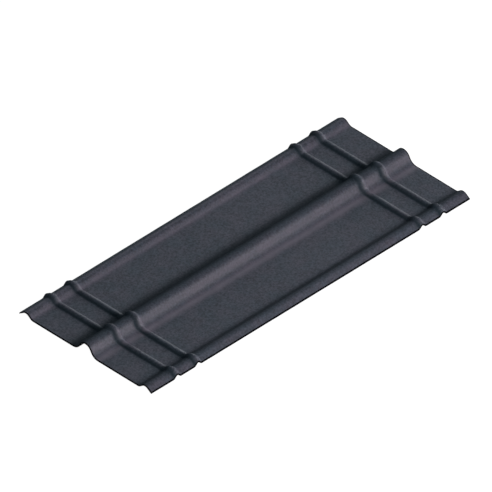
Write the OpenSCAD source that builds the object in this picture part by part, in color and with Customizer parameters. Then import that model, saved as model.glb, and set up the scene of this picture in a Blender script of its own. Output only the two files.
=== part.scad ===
// Corrugated bitumen ridge cap: one moulded sheet, millimetres.
// X runs across the ridge, Y along it, Z up. The wings lie flat on z = 0.

/* [Overall] */
// Length along the ridge
length = 1000; // [500:1:2000]
// Width across the ridge, from free edge to free edge
width = 414; // [320:1:600]
// Thickness of the moulded sheet
thickness = 3; // [2:0.1:4]

/* [Roll over the ridge] */
// Height of the roll above the wings
roll_height = 27.2; // [16:0.2:45]
// Steepest slope of the sides of the roll, in degrees
roll_flank = 60; // [40:1:80]
// Radius of the crest of the roll, at mid thickness
roll_crest_radius = 18; // [10:0.5:24]
// Radius where the roll runs out into a wing, at mid thickness
roll_foot_radius = 23.5; // [10:0.5:28]

/* [Lips along the free edges] */
// Height of the lips above the wings
lip_height = 11; // [8:0.1:16]
// Distance from a free edge in to the crest of its lip
lip_inset = 20; // [17:0.5:30]
// Steepest slope of the inner side of a lip, in degrees
lip_flank = 38; // [28:1:60]
// Radius of the crest of a lip, at mid thickness
lip_crest_radius = 14; // [8:0.5:16]
// Radius where a lip runs out into a wing, at mid thickness
lip_foot_radius = 14; // [10:0.5:20]

/* [Cross ribs at the two ends] */
// Height of the ribs above the sheet
rib_height = 6.5; // [3:0.1:8]
// Width of a rib where it leaves the sheet
rib_width = 24; // [20:0.5:40]
// Distance from an end of the sheet to the centre of the outer rib
rib_end_distance = 83; // [40:1:120]
// Distance between the centres of the two ribs
rib_pitch = 65; // [45:1:100]

/* [Hidden] */
// Facets on the arcs and on the ribs
roll_crest_steps = 6;
roll_foot_steps = 6;
lip_crest_steps = 6;
lip_foot_steps = 4;
rib_steps = 8;
// Waste left round the moulded sheet before it is cut to size
trim = 4;
// Height of the cutting frame, more than any height the sheet can have
frame_height = 200;

// Arcs that meet before they reach the stated slope stop at the slope where they meet
roll_arcs = roll_crest_radius + roll_foot_radius;
roll_slope = min(roll_flank, acos(1 - roll_height / roll_arcs));
lip_arcs = lip_crest_radius + lip_foot_radius;
lip_slope = min(lip_flank, acos(1 - lip_height / lip_arcs));

// Centres of the arcs across the sheet, at mid thickness
roll_crest_z = roll_height - roll_crest_radius;
roll_fall = roll_height - roll_arcs * (1 - cos(roll_slope));
roll_foot_x = roll_arcs * sin(roll_slope) + roll_fall / tan(roll_slope);

lip_crest_x = width / 2 - lip_inset;
lip_crest_z = lip_height - lip_crest_radius;
lip_fall = lip_height - lip_arcs * (1 - cos(lip_slope));
lip_foot_x = lip_crest_x - lip_arcs * sin(lip_slope) - lip_fall / tan(lip_slope);

// The underside of a lip falls straight from its crest arc to the free edge, and meets it
// level with the underside of the wing
under_radius = lip_crest_radius - thickness / 2;
under_crest_z = lip_crest_z + thickness / 2;
edge_reach = norm([lip_inset, under_crest_z]);
edge_slope = asin(under_radius / edge_reach) + asin(under_crest_z / edge_reach);
edge_z = thickness / 2 * (1 / cos(edge_slope) - 1);

// Points across the sheet at mid thickness, each [x, z, tilt of the normal towards +X]
function arc(x, z, radius, from, to, steps) = [
    for (i = [0 : steps])
        let (tilt = from + (to - from) * i / steps)
        [x + radius * sin(tilt), z + radius * cos(tilt), tilt]
];
function hollow_arc(x, z, radius, from, to, steps) = [
    for (i = [0 : steps])
        let (tilt = from + (to - from) * i / steps)
        [x - radius * sin(tilt), z - radius * cos(tilt), tilt]
];
function edge_point(beyond) = [
    width / 2 + beyond,
    edge_z - beyond * tan(edge_slope),
    edge_slope
];

half_section = concat(
    arc(0, roll_crest_z, roll_crest_radius, 0, roll_slope, roll_crest_steps),
    hollow_arc(roll_foot_x, roll_foot_radius, roll_foot_radius, roll_slope, 0, roll_foot_steps),
    hollow_arc(lip_foot_x, lip_foot_radius, lip_foot_radius, 0, -lip_slope, lip_foot_steps),
    arc(lip_crest_x, lip_crest_z, lip_crest_radius, -lip_slope, edge_slope, lip_crest_steps),
    [edge_point(trim + rib_height + thickness)]
);
section = concat(
    [for (i = [len(half_section) - 1 : -1 : 1]) let (p = half_section[i]) [-p[0], p[1], -p[2]]],
    half_section
);

// Stations along the sheet, each [y, rise of the sheet, slope of that rise]
function rib(centre) = [
    for (i = [0 : rib_steps])
        let (turn = 360 * i / rib_steps)
        [centre + rib_width * (i / rib_steps - 1 / 2),
         rib_height * (1 - cos(turn)) / 2,
         PI * rib_height / rib_width * sin(turn)]
];
outer_rib_y = length / 2 - rib_end_distance;
inner_rib_y = outer_rib_y - rib_pitch;
stations = concat(
    [[-length / 2 - trim, 0, 0]],
    rib(-outer_rib_y),
    rib(-inner_rib_y),
    rib(inner_rib_y),
    rib(outer_rib_y),
    [[length / 2 + trim, 0, 0]]
);

// A point of the face on one side of the sheet (side = 1 above, -1 below)
function face_point(across, along, side) =
    let (lean = norm([1, along[2]]))
    let (lift = along[1] + side * thickness / 2 / lean)
    [across[0] + lift * sin(across[2]),
     along[0] - side * thickness / 2 * along[2] / lean,
     across[1] + lift * cos(across[2]) + thickness / 2];

columns = len(section);
rows = len(stations);
layer = columns * rows;

function grid(side) = [for (along = stations) for (across = section) face_point(across, along, side)];
function above(row, column) = row * columns + column;
function below(row, column) = layer + above(row, column);

module moulded_sheet() {
    polyhedron(
        points = concat(grid(1), grid(-1)),
        faces = concat(
            [for (r = [0 : rows - 2]) for (c = [0 : columns - 2])
                for (f = [[above(r, c), above(r + 1, c), above(r + 1, c + 1)],
                          [above(r, c), above(r + 1, c + 1), above(r, c + 1)],
                          [below(r, c), below(r + 1, c + 1), below(r + 1, c)],
                          [below(r, c), below(r, c + 1), below(r + 1, c + 1)]]) f],
            [for (c = [0 : columns - 2])
                for (f = [[above(0, c), above(0, c + 1), below(0, c + 1)],
                          [above(0, c), below(0, c + 1), below(0, c)],
                          [above(rows - 1, c), below(rows - 1, c + 1), above(rows - 1, c + 1)],
                          [above(rows - 1, c), below(rows - 1, c), below(rows - 1, c + 1)]]) f],
            [for (r = [0 : rows - 2])
                for (f = [[above(r, 0), below(r + 1, 0), above(r + 1, 0)],
                          [above(r, 0), below(r, 0), below(r + 1, 0)],
                          [above(r, columns - 1), above(r + 1, columns - 1), below(r + 1, columns - 1)],
                          [above(r, columns - 1), below(r + 1, columns - 1), below(r, columns - 1)]]) f]
        ),
        convexity = 10
    );
}

module cutting_frame() {
    translate([-width / 2, -length / 2, -frame_height / 2])
        cube([width, length, frame_height]);
}

module ridge_cap() {
    color([0.20, 0.21, 0.23])
        intersection() {
            moulded_sheet();
            cutting_frame();
        }
}

ridge_cap();
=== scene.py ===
"""A corrugated bitumen ridge cap: one moulded, granular sheet lying on a pale floor. Metres."""
import math

import bpy
import numpy as np
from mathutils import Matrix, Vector


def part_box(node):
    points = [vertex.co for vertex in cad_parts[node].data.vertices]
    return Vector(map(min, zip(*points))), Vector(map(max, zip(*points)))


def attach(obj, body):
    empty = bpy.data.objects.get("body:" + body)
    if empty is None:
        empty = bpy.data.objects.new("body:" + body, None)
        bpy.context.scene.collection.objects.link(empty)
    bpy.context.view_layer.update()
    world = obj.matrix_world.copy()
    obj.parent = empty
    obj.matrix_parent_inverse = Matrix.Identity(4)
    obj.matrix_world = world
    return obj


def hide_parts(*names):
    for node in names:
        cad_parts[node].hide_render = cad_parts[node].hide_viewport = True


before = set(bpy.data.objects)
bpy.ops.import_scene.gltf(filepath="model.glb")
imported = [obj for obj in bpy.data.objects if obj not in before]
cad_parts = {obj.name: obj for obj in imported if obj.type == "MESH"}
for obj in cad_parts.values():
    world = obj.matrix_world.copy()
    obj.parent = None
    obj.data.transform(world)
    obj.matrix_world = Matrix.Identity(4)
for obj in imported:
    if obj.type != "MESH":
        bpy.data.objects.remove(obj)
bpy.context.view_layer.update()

NODE = "ridge_cap"

# The sheet, with the same driving dimensions as the CAD node
LOW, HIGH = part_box(NODE)
WIDTH = HIGH[0] - LOW[0]
LENGTH = HIGH[1] - LOW[1]
THICKNESS = 0.003
ROLL_HEIGHT = 0.0272
ROLL_FLANK = math.radians(60)
ROLL_CREST_RADIUS = 0.018
ROLL_FOOT_RADIUS = 0.0235
LIP_HEIGHT = 0.011
LIP_INSET = 0.020
LIP_FLANK = math.radians(38)
LIP_CREST_RADIUS = 0.014
LIP_FOOT_RADIUS = 0.014
RIB_HEIGHT = 0.0065
RIB_WIDTH = 0.024
RIB_END_DISTANCE = 0.083
RIB_PITCH = 0.065

# How finely the visible mesh follows those shapes
ARC_STEP = math.radians(5)
FLAT_STEP = 0.0045
RIB_STEPS = 20
SPAN_STEP = 0.0055

# Make of the moulding: rounded cut edges with a bare, near-black strip beside them that is partly painted
# shade along the edges, and a faint unevenness
EDGE_ROUND = 0.0007
EDGE_STEPS = 3
EDGE_BARE = 0.0018
END_BARE = 0.0026
SWELL_HEIGHT = 0.0004
SWELL_LENGTHS = (0.045, 0.14)
SWELL_WAVES = 14
SWELL_SEED = 7

# Paint on the top face, mostly painted highlights and painted shade. A soft band is its middle, its width and
# its strength.
# Across the sheet, from its middle line:
# Painted highlights beside the foot of the roll and on the -X lip:
ROLL_FOOT_HIGHLIGHT = (0.0400, 0.0092, 1.0)
LIP_FOOT_HIGHLIGHT = (-0.1695, 0.0062, 0.42)
LIP_CREST_HIGHLIGHT = (-0.191, 0.006, 0.30)
# Painted shade on the lower +X flank of the roll, which narrows its highlight:
ROLL_FLANK_SHADE = (0.0235, 0.0048, 0.32)
# Along the sheet, from its middle:
# A painted sheen across the middle of the sheet:
MIDDLE_SHEEN = (0.125, 0.110, 0.09)
# Along the sheet, from the centre of the nearest rib:
# Wear with a painted highlight just beyond each rib's crest, and where the painted shade is lifted off the
# rib:
RIB_WEAR_AND_HIGHLIGHT = (0.0045, 0.0030, 0.3)
RIB_CLEAR = (0.0020, 0.0048, 0.8)
# Painted shade in the crease on the -Y side of each rib, on flat and on steep ground:
FLAT_RIB_SHADE = (-0.0066, 0.0038, 1.0)
STEEP_RIB_SHADE = (-0.0095, 0.0072, 1.0)
# Painted highlight on the slopes that face +X: its strength on the steepest, and how fast it fades
SLOPE_HIGHLIGHT = 0.37
SLOPE_HIGHLIGHT_POWER = 4
# Painted shade beside the roll and the +X lip, on their sides away from the light: places across the sheet,
# and strengths there
ROLL_SIDE_SHADE = (
    (-0.060, -0.052, -0.044, -0.036, -0.012, -0.003, 0.003, 0.009, 0.014, 0.019),
    (0, 0.14, 0.48, 0.76, 0.85, 0.80, 0.52, 0.36, 0.20, 0),
)
LIP_SIDE_SHADE = (
    (0.148, 0.156, 0.164, 0.172, 0.180, 0.186, 0.191, 0.196, 0.200),
    (0, 0.16, 0.42, 0.42, 0.58, 0.56, 0.26, 0.05, 0),
)
# How much weaker a rib's own painted shade is where the painted shade beside the roll is full
SIDE_SHADE_RELIEF = 0.4
# How much stronger a rib's painted highlight is on the steepest slope towards +X
STEEP_RIB_HIGHLIGHT = 1.2

# Colours, linear
SLATE = (0.0460, 0.0550, 0.0690)
LILAC = (0.0575, 0.0572, 0.0725)
# Colour of the ribs' wear and painted highlight
WORN_HIGHLIGHT_COLOUR = (0.1350, 0.1450, 0.1550)
# Colour of the painted highlights
PAINTED_HIGHLIGHT_COLOUR = (0.1650, 0.1450, 0.1710)
# Colour of the painted shade
PAINTED_SHADE_COLOUR = (0.0045, 0.0170, 0.0250)
# Colour of the bare board, darker than real board as painted shade on the cut edges
CORE_AND_EDGE_SHADE = (0.0040, 0.0040, 0.0050)

# Grain: the scale, detail and roughness of each noise, the stretch of the fibres' noises along
# X, Y and Z, and how high each kind of grain stands
CLOUDS = (22, 3, 0.5)
PEBBLES = (200, 3, 0.65)
GRIT = (900, 2, 0.6)
FIBRES = (1, 2, 0.6)
FIBRES_ALONG_Y = (700, 90, 700)
FIBRES_ALONG_X = (110, 620, 620)
PEBBLE_HEIGHT = 0.0003
GRIT_HEIGHT = 0.00018
FIBRE_HEIGHT = 0.00012

# What a noise does: its low and high value, and what they stand for
PEBBLE_SHADE = (0.35, 0.65, 0.54, 1.46)
GRIT_SHADE = (0.3, 0.7, 0.85, 1.15)
FIBRE_SHADE = (0.5, 0.8, 0.96, 1.10)
CLOUD_TINT = (0.38, 0.62, 0.0, 1.0)
CLOUD_HIGHLIGHT_BREAKUP = (0.3, 0.7, 0.65, 0.9)
PEBBLE_RUB = (0.4, 0.64, 0.28, 0.62)
GRIT_SHADE_BREAKUP = (0.3, 0.7, 0.8, 1.0)
COAT_ROUGHNESS = (0.35, 0.65, 0.46, 0.38)
BOARD_ROUGHNESS = (0.3, 0.7, 0.75, 0.9)
WEAR_POLISH = 0.04
PAINTED_SHADE_DULLING = 0.45

# The studio. Azimuth 0 is on the -Y side and 90 on the +X side
VIEW_AZIMUTH = 45
VIEW_ELEVATION = 37.65
VIEW_WIDTH = 1.0915
VIEW_SHIFT = (0.0031, 0.0238)
VIEW_DISTANCE = 3
VIEW_DEPTH = 30
FLOOR_REACH = 12
FLOOR_GREY = 0.15
FLOOR_ROUGHNESS = 0.9
FLOOR_GLOW = 1.0
SKY_COLOUR = (0.62, 0.86, 1)
SKY_STRENGTH = 0.12
# Soft boxes: name, azimuth, elevation, distance, width and height, power in watts, colour
LIGHTS = (
    ("key", 93, 28, 6.0, (2.0, 1.4), 234.0, (1, 0.95, 1)),
    ("key_right", 72, 26, 6.0, (2.0, 1.4), 16.0, (0.6, 0.98, 1)),
    ("low_back", 158, 13, 14.0, (4.6, 2.8), 590.0, (1, 0.82, 0.95)),
    ("rim", 175, 7, 12.0, (4.0, 2.0), 104.0, (0.75, 0.9, 1)),
    ("rib_line", 210, 14, 12.0, (2.8, 2.0), 100.0, (0.9, 0.95, 1)),
    ("gloss", 224, 41, 12.0, (4.8, 3.6), 63.0, (0.84, 0.9, 1)),
)


# ---------------------------------------------------------------- the section across the sheet

def arc(x, z, radius, start, end, side=1):
    """Points [x, z, tilt] round an arc; side is -1 where the sheet curves upwards."""
    sweep = abs(end - start)
    steps = max(2, math.ceil(sweep / ARC_STEP), math.ceil(sweep * radius / FLAT_STEP))
    tilts = np.linspace(start, end, steps + 1)
    points = []
    for t in tilts:
        points.append([x + side * radius * math.sin(t), z + side * radius * math.cos(t), t])
    return points


def straight(start, end):
    """Points strictly between two points of the section that share a tilt."""
    reach = math.hypot(end[0] - start[0], end[1] - start[1])
    steps = max(1, math.ceil(reach / FLAT_STEP))
    points = []
    for i in range(1, steps):
        points.append([start[k] + (end[k] - start[k]) * i / steps for k in range(3)])
    return points


def edge_insets(bare):
    """Distances from a cut edge, largest first: where the coat stops, then round the rim."""
    turns = np.linspace(math.pi / 2, 0, EDGE_STEPS + 1)
    return [bare] + [EDGE_ROUND * (1 - math.cos(turn)) for turn in turns]


def foot_reach(height, flank, arcs):
    """How far from a crest the sheet is flat again; arcs is the sum of its two radii."""
    fall = height - arcs * (1 - math.cos(flank))
    return arcs * math.sin(flank) + fall / math.tan(flank)


def half_section():
    """The sheet's mid surface from the crest of the roll out to the free edge."""
    foot_x = foot_reach(ROLL_HEIGHT, ROLL_FLANK, ROLL_CREST_RADIUS + ROLL_FOOT_RADIUS)
    crest = arc(0, ROLL_HEIGHT - ROLL_CREST_RADIUS, ROLL_CREST_RADIUS, 0, ROLL_FLANK)
    foot = arc(foot_x, ROLL_FOOT_RADIUS, ROLL_FOOT_RADIUS, ROLL_FLANK, 0, -1)

    lip_x = WIDTH / 2 - LIP_INSET
    lip_z = LIP_HEIGHT - LIP_CREST_RADIUS
    lip_foot_x = lip_x - foot_reach(LIP_HEIGHT, LIP_FLANK, LIP_CREST_RADIUS + LIP_FOOT_RADIUS)
    # The lip's underside falls straight from its crest arc to the free edge, level with the wing's
    under_z = lip_z + THICKNESS / 2
    reach = math.hypot(LIP_INSET, under_z)
    edge_slope = math.asin((LIP_CREST_RADIUS - THICKNESS / 2) / reach) + math.asin(under_z / reach)
    edge_z = THICKNESS / 2 * (1 / math.cos(edge_slope) - 1)
    lip_foot = arc(lip_foot_x, LIP_FOOT_RADIUS, LIP_FOOT_RADIUS, 0, -LIP_FLANK, -1)
    lip = arc(lip_x, lip_z, LIP_CREST_RADIUS, -LIP_FLANK, edge_slope)
    flank_start = lip[-1][0]
    edge = []
    for inset in edge_insets(EDGE_BARE):
        edge.append([WIDTH / 2 - inset, edge_z + inset * math.tan(edge_slope), edge_slope])

    points = list(crest)
    for stretch in (foot, lip_foot, lip, edge):
        points += straight(points[-1], stretch[0]) + stretch
    return points, flank_start


def section():
    """The whole section from the left free edge to the right one, and where its outer flanks start."""
    half, flank_start = half_section()
    left = [[-x, z, -tilt] for x, z, tilt in half[:0:-1]]
    return np.array(left + half), flank_start


# ---------------------------------------------------------------- the stations along the sheet

def rib_centres():
    """Where the four ribs are along the sheet."""
    outer = LENGTH / 2 - RIB_END_DISTANCE
    inner = outer - RIB_PITCH
    return np.array([-outer, -inner, inner, outer])


def stations():
    """Rows along the sheet, as an array of [y, rise, slope of the rise]."""
    insets = edge_insets(END_BARE)
    rows = [[inset - LENGTH / 2, 0, 0] for inset in insets[::-1]]
    for centre in rib_centres():
        rib = rib_rows(centre)
        rows += plain_rows(rows[-1], rib[0]) + rib
    end = [[LENGTH / 2 - inset, 0, 0] for inset in insets]
    rows += plain_rows(rows[-1], end[0]) + end
    return np.array(rows)


def rib_rows(centre):
    """Rows over one rib, whose height follows a cosine wave."""
    rows = []
    for i in range(RIB_STEPS + 1):
        turn = math.tau * i / RIB_STEPS
        y = centre + RIB_WIDTH * (i / RIB_STEPS - 0.5)
        rise = RIB_HEIGHT * (1 - math.cos(turn)) / 2
        slope = math.pi * RIB_HEIGHT / RIB_WIDTH * math.sin(turn)
        rows.append([y, rise, slope])
    return rows


def plain_rows(start, end):
    """Rows strictly between two others, where there is no rib."""
    steps = max(1, math.ceil((end[0] - start[0]) / SPAN_STEP))
    return [[start[0] + (end[0] - start[0]) * i / steps, 0, 0] for i in range(1, steps)]


def nearest_rib(y):
    """How far a column of places along the sheet lies beyond the centre of the nearest rib."""
    gaps = y - rib_centres()
    nearest = abs(gaps).argmin(axis=1)[:, None]
    return np.take_along_axis(gaps, nearest, axis=1)


# ---------------------------------------------------------------- the mesh

def swell(x, y):
    """A faint, smooth unevenness of the pressed sheet, from 0 to 1."""
    random = np.random.default_rng(SWELL_SEED)
    height = np.zeros_like(x + y)
    for _ in range(SWELL_WAVES):
        length = random.uniform(*SWELL_LENGTHS)
        heading, phase = random.uniform(0, math.tau, 2)
        along = x * math.cos(heading) + y * math.sin(heading)
        height += length * np.sin(along * math.tau / length + phase)
    return (height - height.min()) / (height.max() - height.min())


def edge_loss(distance):
    """How much of the half thickness the rounding takes away at a distance from a cut edge."""
    into = EDGE_ROUND - np.minimum(distance, EDGE_ROUND)
    return EDGE_ROUND - np.sqrt(EDGE_ROUND ** 2 - into ** 2)


def shell_points(across, along, flank_start):
    """Top and bottom grids of points, each an array of rows x columns x 3."""
    x, z, tilt = across[:, 0], across[:, 1], across[:, 2]
    y, rise, slope = along[:, 0:1], along[:, 1:2], along[:, 2:3]
    lean = np.sqrt(1 + slope ** 2)
    # The unevenness fades out towards the highest points, so that the sheet stays in the CAD box
    room = 1 - (z + rise) / (ROLL_HEIGHT + RIB_HEIGHT)
    lifted = rise + SWELL_HEIGHT * swell(x, y) * np.clip(room, 0, 1)
    edge_distance = np.minimum(WIDTH / 2 - abs(x), LENGTH / 2 - abs(y))
    half = THICKNESS / 2 - edge_loss(edge_distance)
    # The free edges are cut upright: towards them, points slide back down the outer flank of the lip
    pull = np.clip((abs(x) - flank_start) / (WIDTH / 2 - flank_start), 0, 1)
    grids = []
    for side in (1, -1):
        lift = lifted + side * half / lean
        back = pull * lift * np.sin(tilt)
        grids.append(np.stack([
            x + lift * np.sin(tilt) - back,
            y - side * half * slope / lean,
            z + lift * np.cos(tilt) + back * np.tan(tilt) + THICKNESS / 2,
        ], axis=-1))
    return grids


def shell_faces(rows, columns):
    """Quads of the closed shell: first the top, then the bottom and the four cut edges."""
    def upper(r, c):
        return r * columns + c

    def lower(r, c):
        return rows * columns + r * columns + c

    last_row, last_column = rows - 1, columns - 1
    faces = []
    for r in range(last_row):
        for c in range(last_column):
            faces.append((upper(r, c), upper(r, c + 1), upper(r + 1, c + 1), upper(r + 1, c)))
    for r in range(last_row):
        for c in range(last_column):
            faces.append((lower(r, c), lower(r + 1, c), lower(r + 1, c + 1), lower(r, c + 1)))
    for c in range(last_column):
        faces.append((lower(0, c), lower(0, c + 1), upper(0, c + 1), upper(0, c)))
        faces.append((
            lower(last_row, c + 1), lower(last_row, c), upper(last_row, c), upper(last_row, c + 1),
        ))
    for r in range(last_row):
        faces.append((lower(r + 1, 0), lower(r, 0), upper(r, 0), upper(r + 1, 0)))
        faces.append((
            lower(r, last_column), lower(r + 1, last_column), upper(r + 1, last_column), upper(r, last_column),
        ))
    return faces


def band(place, middle, width, strength):
    """A soft band, full strength in its middle."""
    return strength * np.exp(-((place - middle) / width) ** 2)


def paint_top(mesh, name, values):
    """Stores one number a point, for the material to read: values on the top, 0 on the underside."""
    both_faces = np.concatenate([values, 0 * values]).astype(np.float32)
    attribute = mesh.attributes.new(name, "FLOAT", "POINT")
    attribute.data.foreach_set("value", both_faces.ravel())


def paint_finish(mesh, across, along):
    """Paints the highlights (painted_highlight), the ribs' wear with its painted highlight
    (wear_and_highlight) and the painted shade (painted_shade).
    """
    x, tilt = across[:, 0], across[:, 2]
    y = along[:, 0:1]

    # Painted highlights on the slopes towards +X, beside the foot of the roll, on the -X lip and a painted
    # sheen across the middle of the sheet
    to_right = np.clip(tilt / ROLL_FLANK, 0, 1)
    painted_highlight = SLOPE_HIGHLIGHT * to_right ** SLOPE_HIGHLIGHT_POWER + band(y, *MIDDLE_SHEEN)
    for place in (ROLL_FOOT_HIGHLIGHT, LIP_FOOT_HIGHLIGHT, LIP_CREST_HIGHLIGHT):
        painted_highlight = painted_highlight + band(x, *place)
    side_shade = np.interp(x, *ROLL_SIDE_SHADE) + np.interp(x, *LIP_SIDE_SHADE) + band(x, *ROLL_FLANK_SHADE)

    # Each rib is worn and carries a painted highlight beyond its crest, stronger on slopes towards +X. Painted
    # shade lies in the crease on its -Y side, and the painted shade beside the roll is lifted off it
    from_rib = nearest_rib(y)
    wear_and_highlight = band(from_rib, *RIB_WEAR_AND_HIGHLIGHT) * (1 + STEEP_RIB_HIGHLIGHT * to_right)
    steep = np.clip(abs(tilt) / ROLL_FLANK, 0, 1)
    rib_shade = band(from_rib, *FLAT_RIB_SHADE) * (1 - steep) + band(from_rib, *STEEP_RIB_SHADE) * steep
    painted_shade = np.maximum(rib_shade * (1 - SIDE_SHADE_RELIEF * side_shade), side_shade * (1 - band(from_rib, *RIB_CLEAR)))

    paint_top(mesh, "painted_highlight", painted_highlight)
    paint_top(mesh, "wear_and_highlight", wear_and_highlight)
    paint_top(mesh, "painted_shade", painted_shade)


def lay_coat(mesh, across, along):
    """Coats the top face up to its rims; the cut edges and the underside stay bare, in a near-black that is
    partly painted shade.
    """
    column_inset = WIDTH / 2 - abs(across[:-1, 0] + across[1:, 0]) / 2
    row_inset = LENGTH / 2 - abs(along[:-1, 0:1] + along[1:, 0:1]) / 2
    coated = (column_inset > EDGE_BARE) & (row_inset > END_BARE)
    coat, bare = 0, 1
    kinds = np.full(len(mesh.polygons), bare, dtype=np.int32)
    kinds[:coated.size] = np.where(coated.ravel(), coat, bare)
    mesh.polygons.foreach_set("material_index", kinds)
    mesh.materials.append(coated_bitumen())
    mesh.materials.append(bare_bitumen_and_edge_shade())


def make_sheet():
    across, flank_start = section()
    along = stations()
    top, bottom = shell_points(across, along, flank_start)
    rows, columns = top.shape[:2]
    points = np.concatenate([top.reshape(-1, 3), bottom.reshape(-1, 3)])
    mesh = bpy.data.meshes.new("ridge_cap_sheet")
    mesh.from_pydata(points.tolist(), [], shell_faces(rows, columns))
    mesh.shade_smooth()
    paint_finish(mesh, across, along)
    lay_coat(mesh, across, along)

    sheet = bpy.data.objects.new("ridge_cap_sheet", mesh)
    bpy.context.scene.collection.objects.link(sheet)
    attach(sheet, "root")
    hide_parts(NODE)


# ---------------------------------------------------------------- materials

def add_node(tree, kind, sockets=None, **settings):
    """Adds a node; sockets gives its inputs, each a value or another node's output."""
    node = tree.nodes.new(kind)
    for key, value in settings.items():
        setattr(node, key, value)
    for key, value in (sockets or {}).items():
        if isinstance(value, bpy.types.NodeSocket):
            tree.links.new(value, node.inputs[key])
        else:
            node.inputs[key].default_value = value
    return node


def noise(tree, point, scale, detail, roughness):
    """A noise over the point, from 0 to 1."""
    sockets = {"Vector": point, "Scale": scale, "Detail": detail, "Roughness": roughness}
    return add_node(tree, "ShaderNodeTexNoise", sockets).outputs["Fac"]


def stretched(tree, point, factors):
    """The point with its axes scaled, so that a noise over it becomes streaks."""
    return add_node(tree, "ShaderNodeMapping", {"Vector": point, "Scale": factors}).outputs["Vector"]


def ramp(tree, value, low, high, start, end):
    """The value's stretch from low to high, mapped to start..end."""
    sockets = {"Value": value, "From Min": low, "From Max": high, "To Min": start, "To Max": end}
    return add_node(tree, "ShaderNodeMapRange", sockets).outputs["Result"]


def compute(tree, operation, a, b):
    """One sum of two numbers, such as MULTIPLY."""
    return add_node(tree, "ShaderNodeMath", {0: a, 1: b}, operation=operation).outputs["Value"]


def blend_colour(tree, factor, a, b, mode="MIX"):
    """Colour a with colour b over it; each is three numbers or another node's output."""
    node = add_node(tree, "ShaderNodeMix", data_type="RGBA", blend_type=mode)
    for key, value in {"Factor": factor, "A": a, "B": b}.items():
        socket = next(s for s in node.inputs if s.name == key and s.enabled)
        if isinstance(value, bpy.types.NodeSocket):
            tree.links.new(value, socket)
        else:
            socket.default_value = value if key == "Factor" else (*value, 1)
    return next(s for s in node.outputs if s.enabled)


def bump(tree, height, distance, normal=None):
    """A normal that makes the height stand out by the distance, on top of another normal."""
    sockets = {"Height": height, "Distance": distance, "Strength": 1.0}
    if normal is not None:
        sockets["Normal"] = normal
    return add_node(tree, "ShaderNodeBump", sockets).outputs["Normal"]


def grain(tree, point):
    """The pressed pulp's pebbles, grit and fibres, each a noise from 0 to 1."""
    pebbles = noise(tree, point, *PEBBLES)
    grit = noise(tree, point, *GRIT)
    fibres_along = noise(tree, stretched(tree, point, FIBRES_ALONG_Y), *FIBRES)
    fibres_across = noise(tree, stretched(tree, point, FIBRES_ALONG_X), *FIBRES)
    return pebbles, grit, compute(tree, "MAXIMUM", fibres_along, fibres_across)


def grain_bump(tree, pebbles, grit, fibres):
    normal = bump(tree, pebbles, PEBBLE_HEIGHT)
    normal = bump(tree, grit, GRIT_HEIGHT, normal)
    return bump(tree, fibres, FIBRE_HEIGHT, normal)


def grain_shade(tree, pebbles, grit, fibres):
    """A grey that the grain makes lighter and darker, to multiply a colour by."""
    fleck = ramp(tree, pebbles, *PEBBLE_SHADE)
    speck = ramp(tree, grit, *GRIT_SHADE)
    streak = ramp(tree, fibres, *FIBRE_SHADE)
    shade = compute(tree, "MULTIPLY", compute(tree, "MULTIPLY", fleck, speck), streak)
    return add_node(tree, "ShaderNodeCombineColor", {0: shade, 1: shade, 2: shade}).outputs["Color"]


def painted(tree, name):
    """A number that paint_top stored on the mesh."""
    return add_node(tree, "ShaderNodeAttribute", attribute_name=name).outputs["Fac"]


def new_material(name):
    """A material, its node tree and its shader."""
    material = bpy.data.materials.new(name)
    material.use_nodes = True
    return material, material.node_tree, material.node_tree.nodes["Principled BSDF"]


def coated_bitumen():
    """Bitumen-soaked fibre board with a coloured coat: pebbled, fibrous, worn where it rubs, with painted
    highlights and painted shade.
    """
    material, tree, shader = new_material("coated_bitumen")
    point = add_node(tree, "ShaderNodeTexCoord").outputs["Object"]
    pebbles, grit, fibres = grain(tree, point)
    wear_and_highlight, painted_shade, painted_highlight = (painted(tree, name) for name in ("wear_and_highlight", "painted_shade", "painted_highlight"))
    clouds = noise(tree, point, *CLOUDS)

    coat = blend_colour(tree, ramp(tree, clouds, *CLOUD_TINT), SLATE, LILAC)
    coat = blend_colour(tree, 1.0, coat, grain_shade(tree, pebbles, grit, fibres), "MULTIPLY")
    # Painted highlight, broken up by the clouds
    highlighted = compute(tree, "MULTIPLY", painted_highlight, ramp(tree, clouds, *CLOUD_HIGHLIGHT_BREAKUP))
    coat = blend_colour(tree, highlighted, coat, PAINTED_HIGHLIGHT_COLOUR)
    # Wear on the ribs together with a painted highlight
    rubbed_and_lit = compute(tree, "MULTIPLY", wear_and_highlight, ramp(tree, pebbles, *PEBBLE_RUB))
    coat = blend_colour(tree, rubbed_and_lit, coat, WORN_HIGHLIGHT_COLOUR)
    # Painted shade, broken up by the grit
    shaded = compute(tree, "MULTIPLY", painted_shade, ramp(tree, grit, *GRIT_SHADE_BREAKUP))
    tree.links.new(blend_colour(tree, shaded, coat, PAINTED_SHADE_COLOUR), shader.inputs["Base Color"])

    roughness = ramp(tree, pebbles, *COAT_ROUGHNESS)
    roughness = compute(tree, "SUBTRACT", roughness, compute(tree, "MULTIPLY", wear_and_highlight, WEAR_POLISH))
    # The painted shade also makes the coat rougher
    roughness = compute(tree, "ADD", roughness, compute(tree, "MULTIPLY", painted_shade, PAINTED_SHADE_DULLING))
    tree.links.new(roughness, shader.inputs["Roughness"])
    tree.links.new(grain_bump(tree, pebbles, grit, fibres), shader.inputs["Normal"])
    return material


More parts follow.
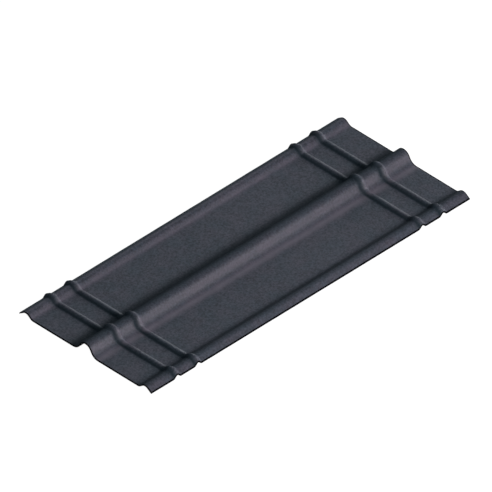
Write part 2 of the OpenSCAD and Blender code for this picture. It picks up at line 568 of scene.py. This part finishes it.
def bare_bitumen_and_edge_shade():
    """The uncoated board at the cut edges and the underside: its own near-black, made darker still as painted
    shade, and without reflections.
    """
    material, tree, shader = new_material("bare_bitumen_and_edge_shade")
    point = add_node(tree, "ShaderNodeTexCoord").outputs["Object"]
    pebbles, grit, fibres = grain(tree, point)
    board = blend_colour(tree, 1.0, CORE_AND_EDGE_SHADE, grain_shade(tree, pebbles, grit, fibres), "MULTIPLY")
    tree.links.new(board, shader.inputs["Base Color"])
    tree.links.new(ramp(tree, grit, *BOARD_ROUGHNESS), shader.inputs["Roughness"])
    shader.inputs["Specular IOR Level"].default_value = 0.0
    tree.links.new(grain_bump(tree, pebbles, grit, fibres), shader.inputs["Normal"])
    return material


def pale_floor():
    """A matt floor that glows evenly, so that it stays plain and pale."""
    material, _, shader = new_material("pale_floor")
    shader.inputs["Base Color"].default_value = (FLOOR_GREY, FLOOR_GREY, FLOOR_GREY, 1)
    shader.inputs["Roughness"].default_value = FLOOR_ROUGHNESS
    shader.inputs["Emission Color"].default_value = (1, 1, 1, 1)
    shader.inputs["Emission Strength"].default_value = FLOOR_GLOW
    return material


# ---------------------------------------------------------------- the studio

def make_floor():
    size = FLOOR_REACH
    mesh = bpy.data.meshes.new("floor")
    corners = [(-size, -size, 0), (size, -size, 0), (size, size, 0), (-size, size, 0)]
    mesh.from_pydata(corners, [], [(0, 1, 2, 3)])
    floor = bpy.data.objects.new("floor", mesh)
    bpy.context.scene.collection.objects.link(floor)
    floor.data.materials.append(pale_floor())
    floor.visible_glossy = False


def direction(azimuth, elevation):
    """The way out from the object at these angles in degrees, a unit long."""
    a, e = math.radians(azimuth), math.radians(elevation)
    return Vector((math.sin(a) * math.cos(e), -math.cos(a) * math.cos(e), math.sin(e)))


def area_light(name, azimuth, elevation, distance, size, power, colour):
    """A soft box that looks at the object."""
    place = direction(azimuth, elevation) * distance
    light = bpy.data.lights.new(name, "AREA")
    light.shape = "RECTANGLE"
    light.size, light.size_y = size
    light.energy = power
    light.color = colour
    lamp = bpy.data.objects.new(name, light)
    lamp.location = place
    lamp.rotation_euler = (-place).to_track_quat("-Z", "Y").to_euler()
    lamp.visible_camera = False
    bpy.context.scene.collection.objects.link(lamp)


def make_world():
    world = bpy.data.worlds.new("studio")
    world.use_nodes = True
    background = world.node_tree.nodes["Background"]
    background.inputs["Color"].default_value = (*SKY_COLOUR, 1)
    background.inputs["Strength"].default_value = SKY_STRENGTH
    bpy.context.scene.world = world


def make_camera():
    """A camera without perspective; VIEW_SHIFT moves it to the right and up."""
    back = direction(VIEW_AZIMUTH, VIEW_ELEVATION)
    turn = (-back).to_track_quat("-Z", "Y")
    right = turn @ Vector((1, 0, 0))
    up = turn @ Vector((0, 1, 0))
    data = bpy.data.cameras.new("camera")
    data.type = "ORTHO"
    data.ortho_scale = VIEW_WIDTH
    data.clip_end = VIEW_DEPTH
    camera = bpy.data.objects.new("camera", data)
    camera.rotation_mode = "QUATERNION"
    camera.rotation_quaternion = turn
    camera.location = right * VIEW_SHIFT[0] + up * VIEW_SHIFT[1] + back * VIEW_DISTANCE
    bpy.context.scene.collection.objects.link(camera)
    bpy.context.scene.camera = camera


make_sheet()
make_floor()
make_camera()
make_world()
for box in LIGHTS:
    area_light(*box)
bpy.context.scene.view_settings.view_transform = "Standard"
